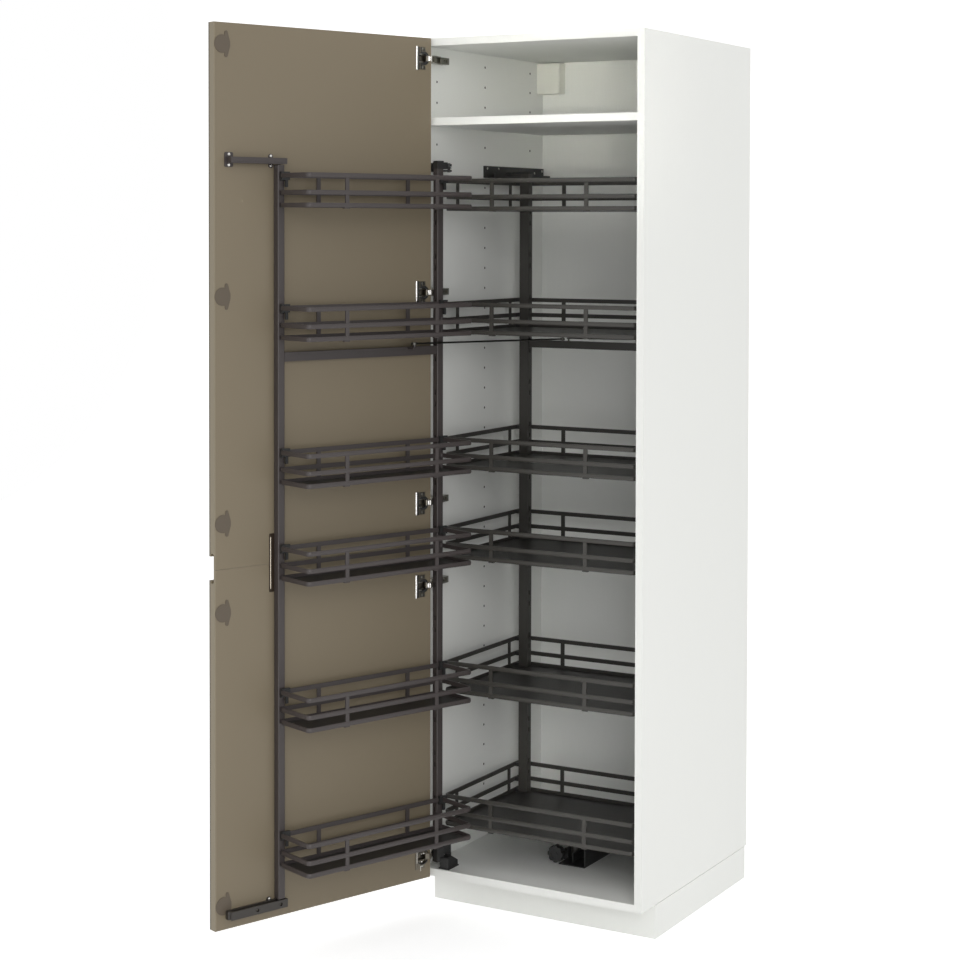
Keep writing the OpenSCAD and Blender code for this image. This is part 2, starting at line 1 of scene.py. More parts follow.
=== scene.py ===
# %% [markdown]
# A tall kitchen cabinet stands open, so that the wire baskets behind its door and
# inside its carcass can be seen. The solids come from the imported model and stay
# where they are. This notebook gives them their finishes, adds the small formed
# parts that plain solids leave out, and sets up the floor, the light and the camera.

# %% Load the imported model
import json
import math

import bpy
import numpy as np
from mathutils import Matrix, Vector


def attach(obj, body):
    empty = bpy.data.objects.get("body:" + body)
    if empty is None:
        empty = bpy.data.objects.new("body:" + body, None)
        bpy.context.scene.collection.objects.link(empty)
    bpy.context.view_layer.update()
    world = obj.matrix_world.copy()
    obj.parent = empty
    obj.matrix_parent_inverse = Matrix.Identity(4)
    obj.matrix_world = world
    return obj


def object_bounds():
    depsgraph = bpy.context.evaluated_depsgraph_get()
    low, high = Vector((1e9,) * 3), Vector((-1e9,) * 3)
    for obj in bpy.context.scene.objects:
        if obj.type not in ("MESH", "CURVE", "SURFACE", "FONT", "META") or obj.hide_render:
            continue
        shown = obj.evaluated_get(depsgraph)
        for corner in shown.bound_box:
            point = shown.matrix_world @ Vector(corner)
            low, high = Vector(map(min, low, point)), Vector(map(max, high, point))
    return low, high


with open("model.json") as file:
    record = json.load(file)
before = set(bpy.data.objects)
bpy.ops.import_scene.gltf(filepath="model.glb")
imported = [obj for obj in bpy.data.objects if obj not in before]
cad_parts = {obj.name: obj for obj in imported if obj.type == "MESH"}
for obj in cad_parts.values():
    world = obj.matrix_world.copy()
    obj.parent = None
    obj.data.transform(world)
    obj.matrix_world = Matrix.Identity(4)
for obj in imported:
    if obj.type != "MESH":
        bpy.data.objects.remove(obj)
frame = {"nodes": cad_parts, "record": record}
nodes = frame["nodes"]
cad_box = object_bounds()

# %% [markdown]
# Every colour below is written as it was read off a photo, in the 0 to 255 steps of
# a screen. Blender mixes light with linear values, so one helper turns a screen
# colour into a linear one. That keeps the numbers easy to compare with the photo.


# %% Screen colours to linear ones
def paint(red, green, blue):
    """Linear RGBA of a screen colour.

    A channel v is v / 12.92 when dark, and otherwise ((v + 0.055) / 1.055) ^ 2.4."""
    v = np.array([red, green, blue]) / 255.0
    linear = np.where(v <= 0.04045, v / 12.92, ((v + 0.055) / 1.055) ** 2.4)
    return (*linear.tolist(), 1.0)


WHITE_FOIL = paint(243, 244, 240)
DOOR_LACQUER = paint(125, 114, 94)
# The door edge's band and line are painted light and painted shade, not colours of their own.
EDGE_PAINTED_LIGHT = paint(136, 126, 106)
EDGE_PAINTED_SHADE = paint(92, 86, 72)
COVER_BEIGE = paint(93, 83, 70)
# Inside the shelf-pin holes: cut board darkened to near black, mostly painted shade.
HOLE_BOARD_AND_SHADE = paint(16, 13, 10)
GRAPHITE = paint(63, 57, 56)
# Painted shade: the rack's coat is darker because the rack stands in the shade of the carcass.
RACK_GRAPHITE_SHADED = paint(58, 56, 52)
RAIL_GRAPHITE = paint(51, 47, 43)
TRAY_GRAPHITE = paint(44, 42, 40)
BLACK = paint(34, 34, 34)
NICKEL = paint(232, 230, 226)
# Plate and arm nickel are darkened far below bright nickel: painted dark reflection.
PLATE_NICKEL_DARK_REFLECTION = paint(118, 113, 103)
ARM_NICKEL_DARK_REFLECTION = paint(148, 146, 138)
ROD_STEEL = paint(86, 85, 80)
BRONZE = paint(54, 43, 31)
# The tie's bead is a far lighter bronze than the strip: painted highlight.
BRONZE_PAINTED_HIGHLIGHT = paint(206, 196, 180)
COVER_WHITE = paint(236, 236, 228)
# Over the hole mouths: a dark tone that is partly cut board, mostly painted shade.
HOLE_MOUTH_SHADE = paint(34, 31, 27)
print("white foil is", [round(v, 3) for v in WHITE_FOIL[:3]], "in linear values")

# %% [markdown]
# A finish is a small network of shader nodes. Written as plain Python sums it stays
# readable, so one class wraps a socket and turns +, - and * into Math nodes. Any
# other node comes from one method that takes its type, settings and inputs.


# %% Shader maths as Python expressions
class Socket:
    """One output of a node tree; sums with it add Math nodes."""

    def __init__(self, finish, out):
        self.finish = finish
        self.out = out

    def _math(self, operation, a, b=0.0):
        return self.finish.node("ShaderNodeMath", {"operation": operation}, [a, b])

    def __add__(self, other):
        return self._math("ADD", self, other)

    def __radd__(self, other):
        return self._math("ADD", other, self)

    def __sub__(self, other):
        return self._math("SUBTRACT", self, other)

    def __mul__(self, other):
        return self._math("MULTIPLY", self, other)

    def __rmul__(self, other):
        return self._math("MULTIPLY", other, self)

    def above(self, limit):
        return self._math("GREATER_THAN", self, limit)

    def below(self, limit):
        return self._math("LESS_THAN", self, limit)

    def size(self):
        return self._math("ABSOLUTE", self)


class Finish:
    """A material with one Principled shader, built by expressions."""

    def __init__(self, name, colour, roughness, metallic=0.0):
        self.material = bpy.data.materials.new(name)
        self.material.use_nodes = True
        self.tree = self.material.node_tree
        self.shader = self.tree.nodes["Principled BSDF"]
        self.shader.inputs["Base Color"].default_value = colour
        self.shader.inputs["Roughness"].default_value = roughness
        self.shader.inputs["Metallic"].default_value = metallic
        self.material.diffuse_color = colour

    def node(self, kind, settings=None, inputs=None, output=0):
        made = self.tree.nodes.new(kind)
        for key, value in (settings or {}).items():
            setattr(made, key, value)
        pairs = inputs.items() if isinstance(inputs, dict) else enumerate(inputs or [])
        for key, value in pairs:
            if isinstance(value, Socket):
                self.tree.links.new(value.out, made.inputs[key])
            else:
                made.inputs[key].default_value = value
        return Socket(self, made.outputs[output])

    def place(self, stretch=(1.0, 1.0, 1.0)):
        """Object coordinates, stretched along each axis."""
        point = self.node("ShaderNodeTexCoord", output="Object")
        return self.node("ShaderNodeMapping", {}, {"Vector": point, "Scale": stretch})

    def axes(self):
        """Object coordinates as three sums-ready sockets."""
        point = self.node("ShaderNodeTexCoord", output="Object")
        parts = self.node("ShaderNodeSeparateXYZ", {}, [point])
        return [Socket(self, out) for out in parts.out.node.outputs]

    def noise(self, scale, detail, stretch=(1.0, 1.0, 1.0)):
        return self.node(
            "ShaderNodeTexNoise", {},
            {"Vector": self.place(stretch), "Scale": scale, "Detail": detail}, output="Fac",
        )

    def blend(self, mask, low, high):
        """Colour that runs from low to high as the mask goes from 0 to 1."""
        return self.node(
            "ShaderNodeMix", {"data_type": "RGBA"}, {0: mask, 6: low, 7: high}, output=2
        )

    def tint(self, mask, dark, light):
        """Base colour that runs from dark to light with the mask."""
        self.feed("Base Color", self.blend(mask, dark, light))

    def feed(self, name, value):
        self.tree.links.new(value.out, self.shader.inputs[name])

    def bump(self, height, strength, distance):
        normal = self.node(
            "ShaderNodeBump", {}, {"Strength": strength, "Distance": distance, "Height": height},
            output="Normal",
        )
        self.feed("Normal", normal)


def shade(colour, factor):
    """A colour made darker or lighter by one factor."""
    return (*(min(1.0, c * factor) for c in colour[:3]), 1.0)


# %% [markdown]
# The carcass boards are particle board under a white foil. The foil has a faint
# vertical brush in its gloss, which only shows where light grazes the board, so it
# goes into roughness and a very low bump and leaves the colour nearly plain. A hole
# for a shelf pin goes through the foil into raw board, so every point that lies
# inside the thickness of a side panel gets a near-black tone: partly the brown of
# cut board, mostly painted shade of the hole's depth.

# %% White foil of the carcass
carcass_top = cad_box[1][2]
PANEL = 0.018
SKIN = 0.0004
HOLES_ABOVE = 0.1
HOLES_DEPTH = 0.599
side_outer = max(v.co.x for v in nodes["side_panel_right"].data.vertices)
side_front = min(v.co.y for v in nodes["side_panel_right"].data.vertices)

foil = Finish("white foil", WHITE_FOIL, 0.42)
foil_grain = foil.noise(9.0, 4.0, (30.0, 30.0, 1.2))
foil.feed("Roughness", 0.38 + 0.12 * foil_grain)
foil_x, foil_y, foil_z = foil.axes()
in_hole = (
    foil_x.size().above(side_outer - PANEL + SKIN)
    * foil_x.size().below(side_outer - SKIN)
    * foil_y.above(side_front + SKIN)
    * foil_y.below(side_front + HOLES_DEPTH)
    * foil_z.above(HOLES_ABOVE)
    * foil_z.below(carcass_top - PANEL)
)
foil_white = foil.blend(foil_grain, shade(WHITE_FOIL, 0.975), WHITE_FOIL)
# Points inside the holes get the near-black tone: partly cut board, mostly painted shade.
foil.tint(in_hole, foil_white, HOLE_BOARD_AND_SHADE)
foil.bump(foil_grain, 0.05, 0.0002)
print("side panels reach", round(side_outer, 3), "m from the middle")

# %% [markdown]
# The door leaves have a matte beige lacquer. A painted board is never quite even:
# two noise patterns, one broad and one fine, move the colour by a few per cent and
# give the surface the tiny texture that keeps its highlight soft. The free edge has
# the same lacquer, but it gets painted light: a band that is a little lighter, with
# a painted shade line along its outer side. How far a point lies along the door and
# out of it comes from a scalar product, so the band is a comparison of two lengths.

# %% Beige lacquer of the door
MM = 0.001
OPEN_ANGLE = math.radians(110.22)
ALONG = np.array([math.cos(OPEN_ANGLE), -math.sin(OPEN_ANGLE), 0.0])
OUT = np.array([math.sin(OPEN_ANGLE), math.cos(OPEN_ANGLE), 0.0])
DOOR_HINGE = np.array([-254.5, -96.0, 0.0])
DOOR_WIDTH = 594.5
EDGE_SKIN = 0.3
SHADE_LINE_START = -17.5

lacquer = Finish("beige lacquer", DOOR_LACQUER, 0.5)
lacquer_broad = lacquer.noise(2.3, 2.0, (1.0, 1.0, 0.4))
lacquer_fine = lacquer.noise(900.0, 2.0)
lacquer_face = lacquer.blend(
    lacquer_broad, shade(DOOR_LACQUER, 0.95), shade(DOOR_LACQUER, 1.04)
)
door_x, door_y, _ = lacquer.axes()
reach = door_x * float(ALONG[0]) + door_y * float(ALONG[1]) - float(DOOR_HINGE @ ALONG) * MM
rise = door_x * float(OUT[0]) + door_y * float(OUT[1]) - float(DOOR_HINGE @ OUT) * MM
# Painted light on the free edge: a lighter band, with a painted shade line along its outer side.
lacquer_edge_light_and_shade = lacquer.blend(rise.below(SHADE_LINE_START * MM), EDGE_PAINTED_LIGHT, EDGE_PAINTED_SHADE)
lacquer.tint(reach.above((DOOR_WIDTH - EDGE_SKIN) * MM), lacquer_face, lacquer_edge_light_and_shade)
lacquer.feed("Roughness", 0.46 + 0.1 * lacquer_fine)
lacquer.bump(lacquer_fine, 0.08, 0.0002)

cover = Finish("beige cover", COVER_BEIGE, 0.5)
cover.bump(cover.noise(700.0, 2.0), 0.06, 0.0002)
print("door finishes:", lacquer.material.name, "and", cover.material.name)

# %% [markdown]
# Frames, rails and baskets are steel under a graphite powder coat. Powder melts into
# a skin with a fine orange-peel texture, which a noise of about a millimetre gives.
# The trays are sheet steel with the same coat in a darker tone.


# %% Powder coats
def powder_coat(name, colour, roughness):
    """Powder coat: fine noise in colour, gloss and bump."""
    coat = Finish(name, colour, roughness)
    peel = coat.noise(1400.0, 2.0)
    coat.tint(peel, shade(colour, 0.9), shade(colour, 1.08))
    coat.feed("Roughness", roughness - 0.06 + 0.12 * peel)
    coat.bump(peel, 0.15, 0.0002)
    return coat


graphite = powder_coat("graphite powder coat", GRAPHITE, 0.42)
tray_coat = powder_coat("tray powder coat", TRAY_GRAPHITE, 0.4)
black_coat = powder_coat("black powder coat", BLACK, 0.45)
rack_graphite_shaded = powder_coat("rack powder coat with painted shade", RACK_GRAPHITE_SHADED, 0.36)
rail_graphite = powder_coat("rail powder coat", RAIL_GRAPHITE, 0.4)
print("powder coats:", sum("powder" in m.name for m in bpy.data.materials))

# %% [markdown]
# Clips, feet and pivot bodies are black moulded plastic, the hinges are nickel that is
# bright on their crowned faces and satin on their plates, and the link rod is drawn
# steel. Metal shows its surroundings, and these are white, so the plate and arm nickel
# also get a much darker colour as painted dark reflection. Otherwise these finishes need
# little more than the right roughness.

# %% Plastics and bare metals
black_plastic = Finish("black plastic", BLACK, 0.5)
black_plastic.bump(black_plastic.noise(900.0, 2.0), 0.08, 0.0002)
white_plastic = Finish("white plastic", COVER_WHITE, 0.45)


def plated(name, colour, roughness):
    """Plated steel: fine noise in its gloss and in a shallow bump."""
    plate = Finish(name, colour, roughness, metallic=1.0)
    wear = plate.noise(260.0, 3.0)
    plate.tint(wear, shade(colour, 0.86), shade(colour, 1.1))
    plate.feed("Roughness", roughness - 0.06 + 0.14 * wear)
    plate.bump(wear, 0.1, 0.0002)
    return plate


nickel = plated("bright nickel", NICKEL, 0.16)
plate_nickel_dark_reflection = plated("nickel plate with painted dark reflection", PLATE_NICKEL_DARK_REFLECTION, 0.32)
arm_nickel_dark_reflection = plated("nickel arm with painted dark reflection", ARM_NICKEL_DARK_REFLECTION, 0.34)
drawn_steel = plated("drawn steel", ROD_STEEL, 0.3)
bronze = Finish("bronze strip", BRONZE, 0.35, metallic=0.4)

FINISH_OF_SLOT = {
    "carcass_white": foil,
    "white_plastic": white_plastic,
    "black_plastic": black_plastic,
    "black_steel": black_coat,
    "nickel_steel": plate_nickel_dark_reflection,
    "rod_steel": drawn_steel,
    "door_beige": lacquer,
    "cap_beige": cover,
    "joiner_bronze": bronze,
    "frame_graphite": graphite,
    "tray_graphite": tray_coat,
}
print("slots with a finish:", len(FINISH_OF_SLOT))

# %% [markdown]
# The imported record says which slot each solid takes its finish from, so the finishes
# are handed out by slot and no list of solids has to be kept twice. Three finishes are
# off their slot: the rack's coat is darker as painted shade, because the rack stands in
# the shade of the carcass, the lower rail is a darker part, and the hinge arms are
# lighter than the plates.

# %% Hand out the finishes
slot_of_node = {s["node"]: s["material_slot"] for s in frame["record"]["subparts"]}
for name, piece in nodes.items():
    finish = FINISH_OF_SLOT[slot_of_node[name]]
    # The rack takes a darker copy of the graphite coat, painted shade.
    if name.startswith("rack_") and finish is graphite:
        finish = rack_graphite_shaded
    piece.data.materials.clear()
    piece.data.materials.append(finish.material)
# The arms take darkened nickel, painted dark reflection, a little lighter than the plates.
nodes["hinge_arms"].data.materials[0] = arm_nickel_dark_reflection.material
nodes["door_rail_bottom"].data.materials[0] = rail_graphite.material
print("finishes handed out:", len(nodes))

# %% [markdown]
# The small formed parts are closed skins worked out from formulas. Most of them are
# one loop, such as an oval, that is repeated at rising heights while it draws in, so
# edges come out round. A loop written as a superellipse covers them all: power 2
# gives an ellipse, and a high power gives a rectangle with round corners.


# %% Closed skins from loops
def superellipse(half_width, half_height, power, count=40):
    """Loop |x/a|^p + |y/b|^p = 1: cosine and sine keep their signs and are raised to 2/p."""
    turn_angle = np.linspace(0.0, 2.0 * math.pi, count, endpoint=False)
    c, s = np.cos(turn_angle), np.sin(turn_angle)
    x = half_width * np.sign(c) * np.abs(c) ** (2.0 / power)
    y = half_height * np.sign(s) * np.abs(s) ** (2.0 / power)
    return x, y


def closed_skin(points):
    """Skin over rows of closed loops.

    Quads join neighbouring rows, and a fan to the middle closes each end."""
    rows, columns = points.shape[:2]
    index = np.arange(rows * columns).reshape(rows, columns)
    ahead = np.roll(index, -1, axis=1)
    quads = np.stack([index[:-1], ahead[:-1], ahead[1:], index[1:]], -1).reshape(-1, 4)
    low, high = rows * columns, rows * columns + 1
    fans = np.concatenate(
        [
            np.stack([np.full(columns, low), ahead[0], index[0]], -1),
            np.stack([np.full(columns, high), index[-1], ahead[-1]], -1),
        ]
    )
    middles = np.stack([points[0].mean(0), points[-1].mean(0)])
    return np.concatenate([points.reshape(-1, 3), middles]), quads, fans


def raised(place, half_width, half_height, power, profile, count=40):
    """Loop that draws in as it rises: point = place(x(a - inset), y(b - inset), height)."""
    loops = [
        np.stack(
            place(*superellipse(half_width - inset, half_height - inset, power, count), height), -1
        )
        for inset, height in profile
    ]
    return closed_skin(np.stack(loops))


def screw_head(place, radius, rise):
    """Domed head with a cross recess.

    height = rise * (1 - 0.35 r^2), less the depth of the cross where a point lies in it."""
    reach = np.array([1.0, 1.0, 0.97, 0.9, 0.8, 0.7, 0.6, 0.5, 0.4, 0.28, 0.14])
    angle = np.linspace(0.0, 2.0 * math.pi, 48, endpoint=False)
    arm_half_width, arm_reach, arm_depth = 0.13, 0.66, 0.6
    r, t = np.meshgrid(reach, angle, indexing="ij")
    x, y = r * np.cos(t), r * np.sin(t)
    height = 1.0 - 0.35 * r**2
    arm = np.minimum(np.abs(x), np.abs(y)) < arm_half_width
    height = np.where(arm & (r < arm_reach), height - arm_depth, height)
    height[0] = 0.0
    height[1] = 0.5
    return closed_skin(np.stack(place(radius * x, radius * y, rise * height), -1))


SHARP_EDGE = math.radians(32)


def formed(name, skins, finish, body):
    """One piece made of closed skins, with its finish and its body."""
    starts = np.cumsum([0] + [len(s[0]) for s in skins[:-1]])
    corners = np.concatenate([s[0] for s in skins])
    quads = np.concatenate([s[1] + start for s, start in zip(skins, starts)])
    fans = np.concatenate([s[2] + start for s, start in zip(skins, starts)])
    mesh = bpy.data.meshes.new(name)
    mesh.from_pydata(corners.tolist(), [], quads.tolist() + fans.tolist())
    mesh.update()
    mesh.polygons.foreach_set("use_smooth", np.ones(len(mesh.polygons), dtype=bool))
    mesh.set_sharp_from_angle(angle=SHARP_EDGE)
    mesh.materials.append(finish.material)
    made = bpy.data.objects.new(name, mesh)
    bpy.context.scene.collection.objects.link(made)
    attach(made, body)
    print(name, "faces:", len(mesh.polygons))


# %% [markdown]
# Each small part sits on a flat face: the door, the frame behind it, or a panel. A
# seat turns millimetres on that face into metres in the room, so the numbers below
# can be read off a drawing: across the face, up it, and out of it.

# %% Seats on the door, the frame and the carcass
RIGHT = np.array([1.0, 0.0, 0.0])
INWARD = np.array([0.0, 1.0, 0.0])
UP = np.array([0.0, 0.0, 1.0])
FRAME_PIVOT = np.array([-236.0, -45.0, 0.0])
CARCASS_FRONT = np.array([0.0, -83.0, 0.0])
INNER_FACE = 282.0


def seat(middle, right, out):
    """Face with its own axes, as a function of two lengths on it and one out of it.

    point = middle + x * right + y * up + h * out, turned from millimetres to metres."""

    def place(x, y, h):
        x, y, h = np.broadcast_arrays(x, y, h)
        return [(middle[i] + x * right[i] + y * UP[i] + h * out[i]) * MM for i in range(3)]

    return place


def door_seat(s, z, m=0.0):
    """Seat on the inner face of the door: s from its hinge edge, m out of the face."""
    return seat(DOOR_HINGE + s * ALONG + m * OUT + z * UP, -ALONG, OUT)


def frame_seat(s, z, m):
    """Seat in the line of the front frame, s from its pivot."""
    return seat(FRAME_PIVOT + s * ALONG + m * OUT + z * UP, -ALONG, OUT)


def wall_seat(y, z, x):
    """Seat that faces right, as the left panel does: y behind the carcass front."""
    return seat(CARCASS_FRONT + np.array([x, y, z]), INWARD, RIGHT)


print("the door opens by", round(math.degrees(OPEN_ANGLE), 2), "degrees")

# %% [markdown]
# Screws hold the rails on the door and the guide rail on the panel. Their heads are
# domes with a cross recess. A head is about 7 mm across, so it is only a bright dot
# from a step away, and the dots are what makes the rails look screwed on. The outer
# lower screw of the upper rail is flat, because the free post passes close in front of
# it when the door closes, and two small ones sit deep in the holes of the lower rail.

# %% Screws
RAIL_END = 571.0
HEAD_Z = 1770.0
RAIL_PLATE = 1.6
RAIL_SCREWS = [
    (RAIL_END - 11.0, HEAD_Z + 20.9, 3.4), (RAIL_END - 120.0, HEAD_Z - 2.0, 3.4),
    (RAIL_END - 120.0, HEAD_Z + 19.4, 3.4), (RAIL_END - 114.0, 125.5, 3.7),
]
formed(
    "door_rail_screws",
    [screw_head(door_seat(s, z, RAIL_PLATE), radius, 1.5) for s, z, radius in RAIL_SCREWS],
    nickel, "door",
)
RAIL_HOLES = [(RAIL_END - 133.5, 113.6), (RAIL_END - 71.5, 113.6)]
IN_THE_HOLE = 17.8
formed(
    "rail_hole_screws",
    [screw_head(door_seat(s, z, IN_THE_HOLE), 1.7, 1.2) for s, z in RAIL_HOLES],
    plate_nickel_dark_reflection, "door",
)
formed(
    "rail_flat_screw",
    [screw_head(door_seat(RAIL_END - 11.0, HEAD_Z - 2.0, RAIL_PLATE), 3.2, 0.3)],
    nickel, "door",
)
GUIDE_SCREWS = [(292.5, 1779.5), (348.0, 1780.0), (534.0, 1773.0), (574.0, 1779.5)]
GUIDE_FACE = -279.0
formed(
    "guide_rail_screws",
    [screw_head(wall_seat(y, z, GUIDE_FACE), 3.2, 1.4) for y, z in GUIDE_SCREWS],
    nickel, "carcass",
)

# %% [markdown]
# A concealed hinge is a stack of pressed plates. The flange on the door is satin nickel,
# darkened as painted reflection, and ends in a polished round bead, a black damper strip
# lies beside it, a low cover hides the spring, and a black rim runs round the mouth of
# the cup as painted shade. The rim is two arcs with gaps between them, because the link
# swings through there, and it stays lower than the 1.7 mm between the closed door and
# the carcass.

# %% Plates and rims of the hinges
HINGE_Z = [2030.0, 1478.0, 979.0, 782.0, 133.0]
BEAD = [(0.0, 1.4), (0.0, 2.0), (0.7, 2.9), (1.7, 3.3)]
LOW_PLATE = [(0.0, 1.4), (0.0, 2.1), (0.5, 2.6)]
RIM_TOP = 1.55
RIM_STARTS = (0.2 * math.pi, 1.17 * math.pi)
RIM_TURN = 0.63 * math.pi
CUP_S = 22.5


def arc_rim(place, radius, half_width, low):
    """Two bars of a ring, each a small rectangle carried round an arc.

    point = place((radius - w) cos t, (radius - w) sin t, h) for (w, h) on the rectangle."""
    width, rise = superellipse(half_width, (RIM_TOP - low) / 2, 5.0, 16)
    r = radius - width[None, :]
    height = (low + RIM_TOP) / 2 + rise
    skins = []
    for start in RIM_STARTS:
        t = np.linspace(start, start + RIM_TURN, 22)[:, None]
        skins.append(closed_skin(np.stack(place(r * np.cos(t), r * np.sin(t), height), -1)))
    return skins


print("hinges:", len(HINGE_Z), "with rims up to", RIM_TOP, "mm")

# %% [markdown]
# Four of the hinges are dressed alike. The lowest one is seen without its bead and its
# strip, so it gets a wider, thinner rim and bright nickel bits of its own: spring covers,
# and thin lines and a small bar that are painted highlights where its edges and cup
# catch the light.

# %% Hinge details on the door
BEAD_S = 42.8
SPRING_S, SPRING_LIFT = 31.6, 9.2
FLANGE_SCREW_S, FLANGE_SCREW_LIFT = 26.0, 21.5
STRIPS = [(38.0, 0.0, 1.7, 27.0), (29.6, 20.0, 0.9, 5.5), (29.6, -20.0, 0.9, 5.5),
          (21.8, 21.5, 0.9, 4.0), (21.8, -21.5, 0.9, 4.0)]
hinge_beads, hinge_strips, hinge_covers, hinge_shade_rims, flange_screws = [], [], [], [], []
for z in HINGE_Z[:-1]:
    hinge_beads.append(raised(door_seat(BEAD_S, z), 2.9, 28.3, 9.0, BEAD, 64))
    for s, lift, half_width, half_height in STRIPS:
        hinge_strips.append(
            raised(door_seat(s, z + lift), half_width, half_height, 12.0, LOW_PLATE, 64)
        )
    for side in (-1, 1):
        spring_seat = door_seat(SPRING_S, z + side * SPRING_LIFT)
        hinge_covers.append(raised(spring_seat, 4.2, 1.5, 6.0, LOW_PLATE))
        screw_seat = door_seat(FLANGE_SCREW_S, z + side * FLANGE_SCREW_LIFT, 0.8)
        flange_screws.append(screw_head(screw_seat, 2.6, 1.2))
    hinge_shade_rims += arc_rim(door_seat(CUP_S, z), 13.5, 3.3, -3.9)
LOW_HINGE = HINGE_Z[-1]
hinge_shade_rims += arc_rim(door_seat(CUP_S, LOW_HINGE), 16.6, 1.4, -1.0)
# Bright bits of the lowest hinge: spring covers, and painted highlights on its edges and cup.
LOW_COVERS_AND_HIGHLIGHTS = [(40.6, 2.0, 0.45, 14.0), (29.8, -26.5, 0.6, 5.0), (26.0, -20.2, 3.2, 1.0),
             (20.4, 9.2, 2.7, 1.6), (27.0, 9.0, 1.6, 1.2), (26.5, -9.4, 2.0, 1.5)]
low_covers_and_highlights = [
    raised(door_seat(s, LOW_HINGE + lift), half_width, half_height, 7.0, LOW_PLATE)
    for s, lift, half_width, half_height in LOW_COVERS_AND_HIGHLIGHTS
]
formed("hinge_flange_beads", hinge_beads, nickel, "door")
formed("low_hinge_covers_and_highlights", low_covers_and_highlights, nickel, "door")
formed("hinge_damper_strips", hinge_strips, black_plastic, "door")
formed("hinge_spring_covers", hinge_covers, arm_nickel_dark_reflection, "door")
# Black rims at the cup mouths: painted shade.
formed("hinge_cup_shade_rims", hinge_shade_rims, black_plastic, "door")
formed("hinge_flange_screws", flange_screws, arm_nickel_dark_reflection, "door")

# %% [markdown]
# The link that crosses from the cup to the arm is a bent strip. Its two outer faces are
# polished and crowned, and a thin dark gap stays between them. A screw holds each arm on
# its plate.

# %% Hinge details on the links and arms
ARM_PIN = np.array([-260.5, -75.3, 0.0])
LINK_CORNERS = np.array([[2.0, -31.3, 0.0], [9.3, -29.6, 0.0], [11.7, -23.5, 0.0]])
CROWN = [(0.0, -0.2), (0.0, 0.3), (0.4, 0.8), (1.0, 1.1)]
FACE_GAP, LINK_HALF = 0.8, 6.3
ARM_SCREW_Y, ARM_FACE = 66.0, -261.2
link_faces = []
for z in HINGE_Z[:-1]:
    for a, b in zip(LINK_CORNERS[:-1], LINK_CORNERS[1:]):
        across = (b - a) / np.linalg.norm(b - a)
        face_out = np.cross(across, UP)
        middle = ARM_PIN + (a + b) / 2 + z * UP
        half = np.linalg.norm(b - a) / 2 - FACE_GAP
        link_faces.append(raised(seat(middle, across, face_out), half, LINK_HALF, 7.0, CROWN))
formed("hinge_link_faces", link_faces, nickel, "hinge_links")
formed(
    "hinge_arm_screws",
    [screw_head(wall_seat(ARM_SCREW_Y, z, ARM_FACE), 3.6, 1.0) for z in HINGE_Z],
    plate_nickel_dark_reflection, "carcass",
)

# %% [markdown]
# The edge of a drilled hole is cut board, which is dark. A thin dark disc with a rounded
# rim covers each hole's mouth on the inner faces of both side panels: painted shade of
# the hole, so that the hole looks dark and crisp. The holes stand in three columns, 50 mm
# apart.

# %% Painted shade over the shelf-pin holes
# Dark discs over the hole mouths: partly cut board, mostly painted shade.
hole_mouth_shade = Finish("cut board with painted hole shade", HOLE_MOUTH_SHADE, 0.6)
HOLE_COLUMNS = [58.0, 285.5, 515.5]
HOLE_HEIGHTS = 181.0 + 50.0 * np.arange(38)
HOLE_SHADE_PROFILE = [(0.5, -0.2), (0.0, 0.1), (0.3, 0.2)]
HOLE_RADIUS = 2.9
HINGE_COLUMN, HINGE_REACH = HOLE_COLUMNS[0], 30.0
SHELF_HOLE = 1881.0
hole_mouth_shades = []
for y in HOLE_COLUMNS:
    for z in HOLE_HEIGHTS:
        beside_hinge = y == HINGE_COLUMN and min(abs(z - h) for h in HINGE_Z) < HINGE_REACH
        if z == SHELF_HOLE or beside_hinge:
            continue
        for side in (-1.0, 1.0):
            middle = CARCASS_FRONT + np.array([side * INNER_FACE, y, z])
            place = seat(middle, -side * INWARD, -side * RIGHT)
            hole_mouth_shades.append(raised(place, HOLE_RADIUS, HOLE_RADIUS, 2.0, HOLE_SHADE_PROFILE, 14))
formed("shelf_hole_mouth_shades", hole_mouth_shades, hole_mouth_shade, "carcass")

# %% [markdown]
# The tie across the seam is a dark bronze strip with a bead along its outer edge, and
# the bead is a far lighter bronze: a painted highlight. The uprights are open channels,
# so a dark strip closes each one from behind as painted shade, and its slots look dark,
# as on the real frame.

# %% Tie bead and channel strips
SEAM_Z = 882.0
TIE_BEAD = [(0.0, 1.6), (0.0, 2.3), (0.4, 2.8), (0.9, 3.0)]
TIE_BED = [(0.0, 0.2), (0.0, 1.4), (0.5, 1.9)]
BEAD_OFFSET, BED_OFFSET = 118.4, 121.6
# The bead's light bronze is a painted highlight.
formed(
    "tie_bead",
    [raised(door_seat(RAIL_END - BEAD_OFFSET, SEAM_Z), 1.1, 58.5, 8.0, TIE_BEAD, 64)],
    plated("bronze bead with painted highlight", BRONZE_PAINTED_HIGHLIGHT, 0.2), "door",
)
formed(
    "tie_bed",
    [raised(door_seat(RAIL_END - BED_OFFSET, SEAM_Z), 6.3, 65.5, 20.0, TIE_BED, 64)],
    bronze, "door",
)


def channel_shade_strip(name, place, half_width, low, high, body):
    """Painted-shade strip closing a channel: a loop of high power, 0.9 mm thick, round edges."""
    profile = [(0.15, 0.0), (0.0, 0.2), (0.0, 0.7), (0.15, 0.9)]
    formed(
        name, [raised(place, half_width, (high - low) / 2, 30.0, profile, 48)],
        black_plastic, body,
    )


